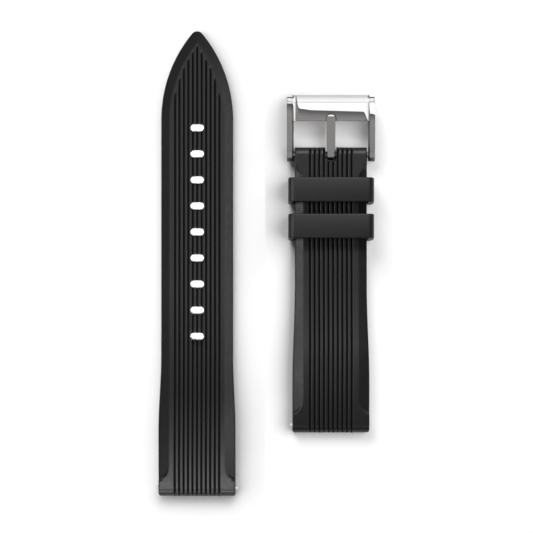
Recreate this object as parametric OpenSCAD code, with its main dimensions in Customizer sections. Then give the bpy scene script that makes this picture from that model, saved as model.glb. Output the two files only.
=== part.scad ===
// Two-piece ribbed silicone watch strap with a pin buckle, two loose keepers and
// telescoping spring bars. The halves lie side by side, face up, on a flat surface.
// X runs across the straps, Y towards the tip and the buckle, Z up.

/* [Strap width] */
// Width of both halves at the lug ends
lug_w = 20; // [18:0.5:24]
// Width of both halves along their straight part
body_w = 18.7; // [16:0.1:18.7]
// Distance from the lug end to where the flare ends, long half
long_flare_start = 17.1; // [14:0.5:20]
// Distance from the lug end to where the flare begins, long half
long_flare_end = 36.6; // [30:0.5:44]
// Distance from the lug end to where the flare ends, short half
short_flare_start = 12.3; // [11:0.5:16]
// Distance from the lug end to where the flare begins, short half
short_flare_end = 38.9; // [30:0.5:42]

/* [Long half] */
// Length of the long half from lug end to tip
long_len = 121; // [112:1:130]
// Thickness of the long half along its straight part
long_t = 2.8; // [2.4:0.1:3.2]
// Number of flutes on the long half
long_flutes = 11; // [7:1:11]
// Distance between flutes on the long half
long_flute_pitch = 1.155; // [1:0.005:1.2]
// Radius of the two arcs that form the pointed tip
tip_arc_r = 35.2; // [33:0.1:38]
// Length of the pointed tip
tip_len = 23; // [22:0.1:23.2]
// Radius of the rounded nose of the tip
tip_nose_r = 1.8; // [1.7:0.05:1.9]
// Width of the plain rim between the bevel and the flutes at the tip
tip_rim = 0.85; // [0.5:0.05:1.5]

/* [Adjusting holes] */
// Number of holes
hole_count = 9; // [5:1:9]
// Distance between holes
hole_pitch = 6.79; // [6:0.01:6.9]
// Distance from the tip to the centre of the first hole
hole_first = 25.2; // [24:0.1:30]
// Length of each hole, across the strap
hole_w = 3.7; // [3:0.1:4.2]
// Width of each hole, along the strap
hole_h = 2; // [1.8:0.1:2.4]

/* [Short half] */
// Length of the short half from lug end to buckle end
short_len = 74.2; // [70:0.1:84]
// Thickness of the short half along its straight part
short_t = 3; // [2.7:0.1:3.2]
// Number of flutes on the short half
short_flutes = 10; // [7:1:10]
// Distance between flutes on the short half
short_flute_pitch = 1.2; // [1.1:0.01:1.25]
// Radius of the rounded bead that holds the buckle bar
bead_r = 1.95; // [1.85:0.05:2.1]
// Width of the slot for the tongue
slot_w = 2.9; // [2.7:0.1:3.4]
// Depth of the slot for the tongue
slot_l = 3.65; // [3.6:0.05:4.2]
// Distance from the buckle end to where the side bevels begin
bevel_lead = 4.5; // [4:0.1:6]
// Length of the slanted start of the side bevels
bevel_lead_run = 3.3; // [2:0.1:4]

/* [Lug ends] */
// Height of the highest point of the curved lug end
crown_z = 5.6; // [5.4:0.05:5.8]
// Distance along the strap from the bar to the highest point
crown_run = 13.9; // [13.4:0.1:14.2]
// Radius of the curve over the lug end
crown_r = 70; // [69:0.5:71]
// Radius of the hollow curve that runs down to the straight part
foot_r = 170; // [150:5:190]
// Distance from the lug end to where the bevel starts to run out, long half
long_scallop = 8.5; // [7:0.1:10]
// Distance from the lug end to where the bevel starts to run out, short half
short_scallop = 9.3; // [8:0.1:11]
// Radius of the run-out at the end of the bevels
scallop_r = 4.75; // [4:0.05:5.5]

/* [Surface] */
// Width of the side bevels on the straight part
bevel_w = 2.15; // [1.6:0.05:2.2]
// Drop of the side bevels over that width
bevel_drop = 0.9; // [0.5:0.05:1.1]
// Depth of the flutes
flute_d = 0.5; // [0.3:0.05:0.55]
// Width of the flutes
flute_w = 0.46; // [0.3:0.02:0.6]

/* [Keepers] */
// Length of each keeper along the strap
keeper_l = 7; // [5:0.1:7.5]
// Wall of the keepers
keeper_wall = 1.3; // [1:0.05:1.5]
// Side wall of the keepers
keeper_side = 1.5; // [1.2:0.05:1.8]
// Outer corner radius of the keepers
keeper_round = 1.6; // [0.8:0.1:2.2]
// Inner corner radius of the keepers
keeper_inner_round = 0.5; // [0.3:0.1:1]
// Distance from the buckle end to the first keeper
keeper_first = 7.9; // [7.5:0.1:9]
// Distance between the two keepers
keeper_gap = 2.4; // [2:0.1:4]

/* [Buckle] */
// Thickness of each arm
arm_w = 1.75; // [1.4:0.05:2.2]
// Radius of the arms round the bar
arm_boss_r = 1.75; // [1.5:0.05:1.8]
// Distance from the bar to the front end of the arms
arm_l = 15.1; // [14:0.1:15.4]
// Radius of the upper edge of the arms
arm_curve_r = 14; // [13.5:0.1:14.5]
// Distance from the bar to the highest point of the arms
arm_crest_y = 6.8; // [6:0.1:7.2]
// Height of the arms above the bar
arm_crest_z = 3.1; // [2.9:0.05:3.2]
// Distance from the bar to the rear edge of the bridge
bridge_y = 8.7; // [8.2:0.1:9]
// Distance from the bar to the front edge of the bridge
bridge_front = 15.5; // [15.4:0.05:16.5]
// Distance from the bar to where the front facet begins
facet_y = 13.5; // [12.5:0.1:14]
// Drop of the front facet
facet_drop = 1.5; // [1:0.1:1.7]
// Height of the bridge above the bar
bridge_top = 3.4; // [3.3:0.05:3.7]
// Distance from the rear edge of the bridge to its highest line
bridge_crest = 0.6; // [0.3:0.1:1.5]
// Radius of the upper surface of the bridge
bridge_r = 13; // [12:0.5:16]
// Thickness of the bridge
bridge_t = 1.8; // [1.6:0.05:1.9]
// Distance from the bar to the end of the rest for the tongue
notch_y = 10.7; // [10.4:0.05:11]
// Width of the rest for the tongue
notch_w = 2.9; // [2.6:0.1:3.4]
// Depth of the rest for the tongue
notch_d = 1.2; // [1:0.05:1.3]

/* [Tongue] */
// Width of the tongue
tongue_w = 2.25; // [1.8:0.05:2.4]
// Width of the eye of the tongue
tongue_eye_w = 1.75; // [1.5:0.05:2.2]
// Outer radius of the eye of the tongue
tongue_eye_r = 1.4; // [1.35:0.05:1.5]
// Thickness of the tongue on its rest
tongue_t = 1.05; // [0.9:0.05:1.15]
// Length of the flat end of the tongue behind the bridge
tongue_flat = 0.6; // [0.4:0.1:1.2]

/* [Spring bars] */
// Diameter of the tube of each spring bar
tube_d = 1.8; // [1.6:0.05:1.8]
// Bore of the tube
tube_bore = 1.4; // [1.2:0.05:1.4]
// Length of the narrowed mouths of the tube
tube_lip = 0.5; // [0.3:0.05:0.7]
// Diameter of the sprung tips outside the strap and in the arms
pin_d = 0.9; // [0.7:0.05:0.9]
// Diameter of the collar of each tip, where it runs in the mouth of the tube
collar_d = 1; // [0.95:0.05:1.05]
// Length of the taper from the collar to the tip
tip_taper = 0.55; // [0.52:0.01:0.6]
// Bevel at the end of each tip
pin_bevel = 0.12; // [0.05:0.01:0.2]
// Length of the plunger of each tip inside the tube
plunger_l = 4.6; // [4:0.1:5]
// Length of the lug bars' tips beyond the strap
lug_tip_out = 0.7; // [0.4:0.05:1]
// Depth of the buckle bar's tips in the arms
buckle_tip_in = 1.25; // [1:0.05:1.35]
// Wire of the springs
spring_wire = 0.22; // [0.15:0.01:0.25]
// Distance between curls of the springs
spring_pitch = 0.8; // [0.7:0.05:1]

/* [Layout] */
// Distance between the axes of the two halves
half_spacing = 34.8; // [30:0.1:45]
// Distance of the short half's lug end beyond the long half's
short_shift = 16.5; // [0:0.1:25]

/* [Clearances] */
// Play of a keeper under the strap
keeper_play = 0.1; // [0.05:0.05:0.3]
// Play of a keeper beside the strap
keeper_side_play = 0.25; // [0.2:0.05:0.35]
// Play of a keeper over both halves when the strap is closed
keeper_top_play = 0.3; // [0.2:0.05:0.5]
// Play of the buckle at each side of the strap
buckle_side_play = 0.35; // [0.2:0.05:0.8]
// Radial clearance of a bar in its strap and of the tongue on its bar
bar_fit = 0.05; // [0.03:0.01:0.1]
// Radial clearance of the sprung tips in the arms and the tube mouths
pin_fit = 0.05; // [0.03:0.01:0.08]
// Radial clearance of the plungers in the tube
plunger_fit = 0.06; // [0.03:0.01:0.08]
// Gap at each end of a bar tube
tube_end_gap = 0.2; // [0.1:0.05:0.3]
// Gap between parts that rest on each other inside the bars
seat_gap = 0.05; // [0.02:0.01:0.08]
// Gap between the tongue and the rest in the bridge
tongue_seat_gap = 0.03; // [0.02:0.01:0.1]
// Gap between the end of the tongue and the end of its rest
tongue_end_gap = 0.27; // [0.1:0.01:0.4]

/* [Hidden] */

silicone = [0.11, 0.105, 0.11];
steel = [0.72, 0.71, 0.7];
spring_steel = [0.6, 0.6, 0.62];

// Fineness of true curves, and the number of steps in drawn curves
curve_fn = 64;
sweep_fn = 360;
steps = 14;
// Rings to a curl of a spring, and sides of its wire
rings = 8;
sides = 6;
// How far a cut reaches past what it cuts, and a height above everything
past = 1;
ceiling = 3 * crown_z;

// The bar sits in a round nose that the curve over the lug end meets at a soft edge
soft_edge = 0.05;
// Step that keeps the crown, foot and straight part from meeting at a tangent
seam = 0.002;
nose_r = soft_edge + (pow(crown_r, 2) - pow(crown_run, 2) - pow(crown_r - crown_z, 2))
    / (2 * (2 * crown_r - crown_z));
nose_angle = asin(crown_run / (crown_r - nose_r));
crown_y = nose_r + crown_run;

// Heights of the straight parts
short_under = keeper_wall + keeper_play;
long_top = long_t;
short_top = short_under + short_t;

// Side bevel, as a slope that runs on outwards where the strap flares
bevel_slope = bevel_drop / bevel_w;
bevel_angle = atan(bevel_slope);
bevel_in = body_w / 2 - bevel_w;

// Spring bars
tunnel_r = tube_d / 2 + bar_fit;
lug_tube_l = lug_w - 2 * tube_end_gap;
lug_reach = lug_w / 2 + lug_tip_out;
lug_collar = lug_w / 2 + seat_gap;
buckle_inner = body_w + 2 * buckle_side_play;
buckle_tube_l = buckle_inner - 2 * tube_end_gap;
buckle_reach = buckle_inner / 2 + buckle_tip_in;
buckle_collar = buckle_inner / 2 - seat_gap;
plunger_r = tube_bore / 2 - plunger_fit;
coil_r = plunger_r - spring_wire / 2 - seat_gap;

// Tip of the long half
tip_y = long_len - tip_len;
tip_arc_x = tip_arc_r - body_w / 2;
nose_share = 0.4;
nose_cut_y = long_len - nose_share * tip_nose_r;

// Arch under the lug ends
arch_start = 1.6 * nose_r;
long_arch_end = 44;
long_arch_rise = 1.3;
short_arch_end = 24;

// Buckle bar, and the clearances that the buckle needs round the strap
bead_y = short_len - bead_r;
bar_z = short_top - bead_r + soft_edge;
buckle_outer = buckle_inner + 2 * arm_w;

// Keepers
keeper_inner_w = body_w + 2 * keeper_side_play;
keeper_inner_h = keeper_play + short_t + long_t + keeper_top_play;
keeper_outer_w = keeper_inner_w + 2 * keeper_side;
keeper_outer_h = keeper_inner_h + 2 * keeper_wall;

// Places of the halves, with the origin under the middle of the whole part
long_x = (lug_reach - max(buckle_outer, keeper_outer_w) / 2 - half_spacing) / 2;
short_x = long_x + half_spacing;
long_y = -long_len / 2;
short_y = long_y + short_shift;

function arc(cx, cy, r, a0, a1, n) =
    [for (i = [0:n]) [cx + r * cos(a0 + (a1 - a0) * i / n), cy + r * sin(a0 + (a1 - a0) * i / n)]];

// Angle at which the foot and crown curves meet, and where the foot ends. A height scale of
// less than one gives the same curves as seen along a direction that slopes down sideways.
function climb(top, k = 1) = acos(1 - k * k * (crown_z - top) / (crown_r + foot_r));
function foot_end(top, k = 1) = crown_y + (crown_r + foot_r) / k * sin(climb(top, k));

// Half the width of the strap at a distance from the lug end
function flare(y, y0, y1) = let (t = min(max((y - y0) / (y1 - y0), 0), 1))
    body_w / 2 + (lug_w - body_w) / 2 * (1 + cos(180 * t)) / 2;

function mirrored(points) =
    concat(points, [for (i = [len(points) - 1:-1:0]) [-points[i][0], points[i][1]]]);

// Outline of a strap half seen from above, up to a straight end
module outline(y0, y1, len, end_round) {
    lug_round = 0.5;
    edge = concat(
        [[lug_w / 2 - lug_round, 0], [lug_w / 2, lug_round]],
        [for (i = [0:steps]) let (y = y0 + (y1 - y0) * i / steps) [flare(y, y0, y1), y]],
        end_round == 0 ? [[body_w / 2, len]]
            : [[body_w / 2, len - end_round], [body_w / 2 - end_round, len]]
    );
    polygon(mirrored(edge));
}

// Side bevels, sloped down sideways from a line at a steady distance from the middle. Seen from
// above they have a slanted lead at one end and a scooped run-out at the lug.
module side_bevels(top, scallop, end, lead) {
    far = lug_w / 2 + 2 * past;
    inside = bevel_in - past / 2;
    reach = far - bevel_in - past / 2;
    run_out = arc(bevel_in + scallop_r, scallop, scallop_r, 180, 270, 8);
    for (side = [0, 1])
        mirror([side, 0, 0])
            intersection() {
                translate([bevel_in, 0, 0]) rotate([0, bevel_angle, 0])
                    across(2 * reach) difference() {
                        translate([-past, 0]) square([long_len, ceiling]);
                        top_side(top, 0, cos(bevel_angle));
                    }
                linear_extrude(ceiling)
                    polygon(concat(run_out, [[far, scallop - scallop_r], [far, end + lead / 2],
                        [body_w / 2, end], [bevel_in, end - lead], [inside, end - lead],
                        [inside, scallop]]));
            }
}

// Side view of a strap half: nose, arched underside and the given end
module side_view(top, under, arch_end, arch_rise, end_points) {
    top_z = crown_z + past;
    whole = under == 0 ? 1 : 2;
    arch = [for (i = [0:10]) let (t = i / 10 / whole)
        [arch_start + (arch_end - arch_start) * i / 10, arch_rise * 4 * t * (1 - t)]];
    intersection() {
        polygon(concat([[nose_r, top_z]], arc(nose_r, nose_r, nose_r, 90, 270, 20),
            arch, end_points, [[end_points[len(end_points) - 1][0], top_z]]));
        top_side(top, 0);
    }
}

// Side view of everything under the surface, or under a line some depth below it:
// crown, hollow foot and straight part
module top_side(top, depth, k = 1) {
    r = crown_r / k - depth;
    foot_y = foot_end(top, k);
    meet = crown_y + r * sin(climb(top, k));
    intersection() {
        translate([crown_y, crown_z * k - crown_r / k]) circle(r = r, $fn = sweep_fn);
        translate([-past, -past]) square([meet + past, 2 * crown_z]);
    }
    difference() {
        translate([meet, -past]) square([foot_y - meet, crown_z + past]);
        translate([foot_y, top * k + foot_r / k])
            circle(r = foot_r / k + depth + seam, $fn = sweep_fn);
    }
    translate([foot_y, -past]) square([long_len, top * k - depth + past]);
}

// Side view of the space above the floor of the flutes, from the nose upwards
module flute_room(top) {
    difference() {
        translate([-past, nose_r]) square([long_len + past, 2 * crown_z]);
        intersection() {
            polygon(concat([[nose_r, ceiling]],
                arc(nose_r, nose_r, nose_r - flute_d, 90, 180, 12),
                [[flute_d, 0], [long_len + past, 0], [long_len + past, ceiling]]));
            top_side(top, flute_d);
        }
    }
}

// A row of flutes, cut down to their floor inside an area seen from above
module flutes(top, count, pitch) {
    intersection() {
        across(2 * lug_w) flute_room(top);
        linear_extrude(ceiling)
            intersection() {
                for (i = [0:count - 1])
                    translate([(i - (count - 1) / 2) * pitch - flute_w / 2, -past])
                        square([flute_w, long_len + past]);
                children();
            }
    }
}

// Extrudes a side view across the strap
module across(w) {
    translate([-w / 2, 0, 0]) rotate([90, 0, 90]) linear_extrude(w) children();
}

module bar_tunnel(y, z) {
    translate([0, y, z]) rotate([0, 90, 0])
        cylinder(r = tunnel_r, h = 2 * lug_w, center = true, $fn = curve_fn);
}

// Pointed tip: two arcs that carry the side bevel round to a rounded nose
module tip() {
    intersection() {
        translate([-body_w, tip_y, 0]) cube([2 * body_w, tip_len, long_top]);
        for_side(-1) tip_arc();
        for_side(1) tip_arc();
    }
}

module for_side(side) {
    translate([side * tip_arc_x, tip_y, 0]) children();
}

// One side of the tip: its outer wall with the bevel above it
module tip_arc() {
    rotate_extrude($fn = sweep_fn)
        polygon([
            [0, -past], [tip_arc_r, -past], [tip_arc_r, long_top - bevel_drop],
            [tip_arc_r - bevel_w - past / bevel_slope, long_top + past], [0, long_top + past]
        ]);
}

// What the rounded nose takes off the point
module tip_nose_cut() {
    difference() {
        translate([-body_w / 2, nose_cut_y, -past])
            cube([body_w, 2 * tip_nose_r, long_top + 2 * past]);
        translate([0, long_len - tip_nose_r, -2 * past])
            cylinder(r = tip_nose_r, h = long_top + 4 * past, $fn = curve_fn);
    }
}

// Area of the long half's flutes seen from above, inside the plain rim of the tip
module tip_flute_area() {
    inner_r = tip_arc_r - bevel_w - tip_rim;
    translate([-body_w / 2, -past]) square([body_w, tip_y + past]);
    intersection() {
        translate([-tip_arc_x, tip_y]) circle(r = inner_r, $fn = sweep_fn);
        translate([tip_arc_x, tip_y]) circle(r = inner_r, $fn = sweep_fn);
        translate([-body_w / 2, tip_y]) square([body_w, tip_len]);
    }
}

// Adjusting hole with round ends
module hole() {
    straight = (hole_w - hole_h) / 2;
    translate([0, 0, -past]) linear_extrude(long_top + 2 * past)
        polygon(concat(arc(straight, 0, hole_h / 2, -90, 90, 10),
            arc(-straight, 0, hole_h / 2, 90, 270, 10)));
}

module long_blank() {
    difference() {
        intersection() {
            linear_extrude(ceiling) outline(long_flare_start, long_flare_end, tip_y, 0);
            across(2 * lug_w)
                side_view(long_top, 0, long_arch_end, long_arch_rise, [[tip_y, 0]]);
        }
        side_bevels(long_top, long_scallop, tip_y + tip_len, 0);
    }
}

module long_strap() {
    color(silicone)
    translate([long_x, long_y, 0])
        difference() {
            union() {
                long_blank();
                tip();
            }
            tip_nose_cut();
            flutes(long_top, long_flutes, long_flute_pitch) tip_flute_area();
            for (i = [0:hole_count - 1])
                translate([0, long_len - hole_first - i * hole_pitch, 0]) hole();
            bar_tunnel(nose_r, nose_r);
        }
}

module short_strap() {
    bead_cut = asin((bar_z - short_under) / bead_r);
    corner = 0.4;
    color(silicone)
    translate([short_x, short_y, 0])
        difference() {
            intersection() {
                linear_extrude(ceiling)
                    outline(short_flare_start, short_flare_end, short_len, corner);
                across(2 * lug_w)
                    side_view(short_top, short_under, short_arch_end, short_under,
                        arc(bead_y, bar_z, bead_r, -180 + bead_cut, 90, 20));
            }
            side_bevels(short_top, short_scallop, short_len - bevel_lead, bevel_lead_run);
            flutes(short_top, short_flutes, short_flute_pitch)
                translate([-body_w / 2, -past]) square([body_w, short_len + 2 * past]);
            translate([-slot_w / 2, short_len - slot_l, -past])
                cube([slot_w, slot_l + past, ceiling]);
            bar_tunnel(nose_r, nose_r);
            bar_tunnel(bead_y, bar_z);
        }
}

// Spring bar pieces, drawn along X with their middle at the origin
module turned() {
    rotate([0, 90, 0]) rotate_extrude($fn = curve_fn) children();
}

module bar_tube(l) {
    mouth_r = collar_d / 2 + pin_fit;
    inside = l / 2 - tube_lip;
    half = [[tube_d / 2, l / 2], [mouth_r, l / 2], [mouth_r, inside], [tube_bore / 2, inside]];
    turned() polygon(concat(half,
        [for (i = [len(half) - 1:-1:0]) [half[i][0], -half[i][1]]]));
}

function plunger_out(l) = l / 2 - tube_lip - seat_gap;
function plunger_in(l) = plunger_out(l) - plunger_l;

// Plunger, collar and tip turned in one piece
module bar_tip(l, collar, reach) {
    turned() polygon([
        [0, plunger_in(l)], [plunger_r, plunger_in(l)], [plunger_r, plunger_out(l)],
        [collar_d / 2, plunger_out(l)], [collar_d / 2, collar - tip_taper], [pin_d / 2, collar],
        [pin_d / 2, reach - pin_bevel], [pin_d / 2 - pin_bevel, reach], [0, reach]
    ]);
}

module lug_bar_tip() {
    bar_tip(lug_tube_l, lug_collar, lug_reach);
}

module buckle_bar_tip() {
    bar_tip(buckle_tube_l, buckle_collar, buckle_reach);
}

// One unbroken wire wound as a helix
function coil_run(l) = 2 * (plunger_in(l) - seat_gap) - spring_wire;
function coil_turns(l) = floor(coil_run(l) / spring_pitch);
function coil_point(l, i) = let (a = 360 * i / rings)
    [coil_run(l) * (i / (rings * coil_turns(l)) - 0.5), coil_r * cos(a), coil_r * sin(a)];
function coil_gap(l) =
    min([for (i = [0:rings * (coil_turns(l) - 1)])
        norm(coil_point(l, i + rings) - coil_point(l, i))])
    * cos(atan(coil_run(l) / coil_turns(l) / (2 * PI * coil_r))) - spring_wire;

module bar_spring(l) {
    last = rings * coil_turns(l);
    points = [for (i = [0:last], k = [0:sides - 1])
        let (p = coil_point(l, i), a = 360 * i / rings, b = 360 * k / sides,
            out = spring_wire / 2 * cos(b))
        p + [spring_wire / 2 * sin(b), out * cos(a), out * sin(a)]];
    walls = [for (i = [0:last - 1], k = [0:sides - 1], half = [0, 1])
        let (a = i * sides + k, b = i * sides + (k + 1) % sides)
        half == 0 ? [a, b, b + sides] : [a, b + sides, a + sides]];
    start = [for (k = [1:sides - 2]) [0, k + 1, k]];
    finish = [for (k = [1:sides - 2]) [last * sides, last * sides + k, last * sides + k + 1]];
    polyhedron(points, concat(walls, start, finish));
}

module at_long_bar() {
    translate([long_x, long_y + nose_r, nose_r]) children();
}

module at_short_bar() {
    translate([short_x, short_y + nose_r, nose_r]) children();
}

module at_buckle_bar() {
    translate([short_x, short_y + bead_y, bar_z]) children();
}

module long_lug_bar_tube() {
    color(steel) at_long_bar() bar_tube(lug_tube_l);
}

module long_lug_bar_tip_left() {
    color(steel) at_long_bar() mirror([1, 0, 0]) lug_bar_tip();
}

module long_lug_bar_tip_right() {
    color(steel) at_long_bar() lug_bar_tip();
}

module long_lug_bar_spring() {
    color(spring_steel) at_long_bar() bar_spring(lug_tube_l);
}

module short_lug_bar_tube() {
    color(steel) at_short_bar() bar_tube(lug_tube_l);
}

module short_lug_bar_tip_left() {
    color(steel) at_short_bar() mirror([1, 0, 0]) lug_bar_tip();
}

module short_lug_bar_tip_right() {
    color(steel) at_short_bar() lug_bar_tip();
}

module short_lug_bar_spring() {
    color(spring_steel) at_short_bar() bar_spring(lug_tube_l);
}

module buckle_bar_tube() {
    color(steel) at_buckle_bar() bar_tube(buckle_tube_l);
}

module buckle_bar_tip_left() {
    color(steel) at_buckle_bar() mirror([1, 0, 0]) buckle_bar_tip();
}

module buckle_bar_tip_right() {
    color(steel) at_buckle_bar() buckle_bar_tip();
}

module buckle_bar_spring() {
    color(spring_steel) at_buckle_bar() bar_spring(buckle_tube_l);
}

// Rounded rectangle standing on the X axis
module loop_2d(w, h, r) {
    polygon(concat(
        arc(w / 2 - r, r, r, -90, 0, 6), arc(w / 2 - r, h - r, r, 0, 90, 6),
        arc(r - w / 2, h - r, r, 90, 180, 6), arc(r - w / 2, r, r, 180, 270, 6)));
}

// Loose loop round the short half, with room for the long half on top of it
module keeper(from_end) {
    color(silicone)
    translate([short_x, short_y + short_len - from_end, 0])
        rotate([90, 0, 0])
            linear_extrude(keeper_l)
                difference() {
                    loop_2d(keeper_outer_w, keeper_outer_h, keeper_round);
                    translate([0, keeper_wall])
                        loop_2d(keeper_inner_w, keeper_inner_h, keeper_inner_round);
                }
}

module buckle_keeper() {
    keeper(keeper_first);
}

module free_keeper() {
    keeper(keeper_first + keeper_l + keeper_gap);
}

// Side view of an arm, with the bar at the origin
module arm_2d() {
    heel = 0.85 * arm_boss_r;
    belly = 0.75 * arm_l;
    difference() {
        union() {
            circle(r = arm_boss_r, $fn = curve_fn);
            intersection() {
                translate([arm_crest_y, arm_crest_z - arm_curve_r])
                    circle(r = arm_curve_r, $fn = sweep_fn);
                polygon([
                    [0, -heel], [belly, -bar_z], [arm_l, -bar_z],
                    [arm_l, arm_crest_z + past], [0, arm_crest_z + past]
                ]);
            }
        }
        circle(r = pin_d / 2 + pin_fit, $fn = curve_fn);
    }
}

// Side view of the bridge: a curved plate with a steeper facet along its front
module bridge_2d() {
    centre = [bridge_y + bridge_crest, bridge_top - bridge_r];
    facet_z = centre[1] + sqrt(pow(bridge_r, 2) - pow(facet_y - centre[0], 2));
    difference() {
        intersection() {
            translate(centre) circle(r = bridge_r, $fn = sweep_fn);
            polygon([
                [bridge_y, 0], [bridge_front, 0], [bridge_front, facet_z - facet_drop],
                [facet_y, facet_z], [facet_y, bridge_top + past], [bridge_y, bridge_top + past]
            ]);
        }
        translate(centre) circle(r = bridge_r - bridge_t, $fn = sweep_fn);
    }
}

// Rest for the tongue, cut into the rear edge of the bridge
module notch() {
    r = notch_w / 2;
    translate([0, 0, bridge_top - notch_d])
        linear_extrude(2 * notch_d)
            polygon(concat([[r, bridge_y - past]], arc(0, notch_y - r, r, 0, 180, 16),
                [[-r, bridge_y - past]]));
}

// Two arms with the ends of the bridge let into them
module buckle_frame() {
    let_in = 0.4;
    color(steel)
    at_buckle_bar()
        difference() {
            union() {
                translate([buckle_inner / 2 + arm_w / 2, 0, 0]) across(arm_w) arm_2d();
                translate([-buckle_inner / 2 - arm_w / 2, 0, 0]) across(arm_w) arm_2d();
                across(buckle_inner + 2 * let_in) bridge_2d();
            }
            notch();
        }
}

// Side view of the tongue: an eye on the bar and a shank that rests in the notch
module tongue_2d() {
    low = bridge_top - notch_d + tongue_seat_gap;
    high = low + tongue_t;
    finish = notch_y - tongue_end_gap;
    nib = 0.2 * tongue_t;
    bend = bridge_y - tongue_flat;
    root = tongue_eye_r / 4;
    circle(r = tongue_eye_r, $fn = curve_fn);
    polygon([
        [root, 0], [bend, low], [finish, low], [finish, high - nib], [finish - 2 * nib, high],
        [bend, high + nib / 4], [root, 0.8 * tongue_eye_r]
    ]);
}

module buckle_tongue() {
    finish = notch_y - tongue_end_gap;
    r = tongue_w / 2;
    eye = tongue_eye_w / 2;
    neck = 0.6;
    shoulder = 1.6;
    color(steel)
    at_buckle_bar()
        difference() {
            intersection() {
                across(2 * tongue_w) tongue_2d();
                translate([0, 0, -ceiling / 2]) linear_extrude(ceiling)
                    polygon(mirrored([[eye, -2 * eye], [eye, neck], [r, shoulder],
                        [r, finish - r], [0.9 * r, finish - 0.55 * r],
                        [0.62 * r, finish - 0.2 * r], [0.3 * r, finish]]));
            }
            rotate([0, 90, 0])
                cylinder(r = tunnel_r, h = 2 * tongue_w, center = true, $fn = curve_fn);
        }
}

echo(spring_gap_lug = coil_gap(lug_tube_l), spring_gap_buckle = coil_gap(buckle_tube_l));

long_strap();
long_lug_bar_tube();
long_lug_bar_tip_left();
long_lug_bar_tip_right();
long_lug_bar_spring();
short_strap();
short_lug_bar_tube();
short_lug_bar_tip_left();
short_lug_bar_tip_right();
short_lug_bar_spring();
buckle_keeper();
free_keeper();
buckle_frame();
buckle_tongue();
buckle_bar_tube();
buckle_bar_tip_left();
buckle_bar_tip_right();
buckle_bar_spring();
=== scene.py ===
import math

import bmesh
import bpy
import numpy as np
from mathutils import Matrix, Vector

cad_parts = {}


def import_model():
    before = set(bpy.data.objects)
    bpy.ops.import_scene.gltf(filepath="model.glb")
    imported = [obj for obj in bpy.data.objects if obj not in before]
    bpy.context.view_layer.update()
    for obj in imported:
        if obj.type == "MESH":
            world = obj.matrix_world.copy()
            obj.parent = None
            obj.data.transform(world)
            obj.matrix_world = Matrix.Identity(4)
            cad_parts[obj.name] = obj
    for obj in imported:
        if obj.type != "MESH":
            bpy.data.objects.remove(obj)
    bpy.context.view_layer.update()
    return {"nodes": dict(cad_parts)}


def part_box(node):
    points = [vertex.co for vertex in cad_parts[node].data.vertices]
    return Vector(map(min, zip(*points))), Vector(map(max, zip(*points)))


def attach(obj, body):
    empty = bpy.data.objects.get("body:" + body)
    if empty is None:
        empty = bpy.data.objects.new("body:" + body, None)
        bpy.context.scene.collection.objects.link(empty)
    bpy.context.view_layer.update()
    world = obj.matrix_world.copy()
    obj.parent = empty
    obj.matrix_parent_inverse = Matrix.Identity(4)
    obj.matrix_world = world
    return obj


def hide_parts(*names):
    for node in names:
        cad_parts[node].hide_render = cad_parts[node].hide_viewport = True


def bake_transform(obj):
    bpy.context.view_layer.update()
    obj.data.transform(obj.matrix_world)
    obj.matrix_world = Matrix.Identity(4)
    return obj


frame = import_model()
MM = 0.001


# Sizes of the straps in millimetres, from the frame where it holds them
def box_mm(node):
    """A node's lowest and highest corners in millimetres."""
    lo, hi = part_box(node)
    return np.array(lo) / MM, np.array(hi) / MM


LONG_LO, LONG_HI = box_mm("long_strap")
SHORT_LO, SHORT_HI = box_mm("short_strap")
LONG_X = (LONG_LO[0] + LONG_HI[0]) / 2
SHORT_X = (SHORT_LO[0] + SHORT_HI[0]) / 2
LUG_W = LONG_HI[0] - LONG_LO[0]
CROWN_Z = LONG_HI[2]
BODY_W = 18.7
CROWN_RUN = 13.9
CROWN_R = 70.0
FOOT_R = 170.0
SOFT_EDGE = 0.05
NOSE_R = SOFT_EDGE + (CROWN_R**2 - CROWN_RUN**2 - (CROWN_R - CROWN_Z) ** 2) / (
    2 * (2 * CROWN_R - CROWN_Z)
)
NOSE_ANGLE = math.asin(CROWN_RUN / (CROWN_R - NOSE_R))
CROWN_Y = NOSE_R + CROWN_RUN
BEVEL_W = 2.15
BEVEL_DROP = 0.9
BEVEL_SLOPE = BEVEL_DROP / BEVEL_W
BEVEL_IN = BODY_W / 2 - BEVEL_W
BEVEL_CREASE = 0.06
RUN_OUT = 0.35
FLUTE_DEPTH = 0.5
FLUTE_WALL = 0.26
FLUTE_WALL_SHARE = 0.9
FLUTE_SHOULDER = 0.14
FLUTE_SHOULDER_RUN = 0.24
FLUTE_SHOULDER_SHARE = 0.1
EDGE_ROUND = 0.28
CORNER_ROUND = 0.5
BAR_HOLE_R = 0.95
ARCH_START = 1.6 * NOSE_R
EDGE_LIFT_MOST = NOSE_R * 0.9
EDGE_LIFT_RUN = 1.5

# Each half: height of its straight part, its flutes, where the lug end's flare starts and ends,
# where the bevel's scoop begins, and the arch below by its end, its rise and 1 for a whole arch or
# 2 for half of one
LONG = {
    "top": 2.8,
    "length": LONG_HI[1] - LONG_LO[1],
    "flutes": 11,
    "pitch": 1.155,
    "flare": (17.1, 36.6),
    "scallop": 8.5,
    "arch": (44.0, 1.3, 1),
}
SHORT = {
    "top": 4.4,
    "length": SHORT_HI[1] - SHORT_LO[1],
    "flutes": 10,
    "pitch": 1.2,
    "flare": (12.3, 38.9),
    "scallop": 9.3,
    "arch": (24.0, 1.4, 2),
}
SCALLOP_R = 4.75
TIP_LEN = 23.0
TIP_ARC_R = 35.2
TIP_ARC_X = TIP_ARC_R - BODY_W / 2
TIP_NOSE_R = (TIP_ARC_R**2 - TIP_ARC_X**2 - TIP_LEN**2) / (2 * (TIP_ARC_R - TIP_LEN))
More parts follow.
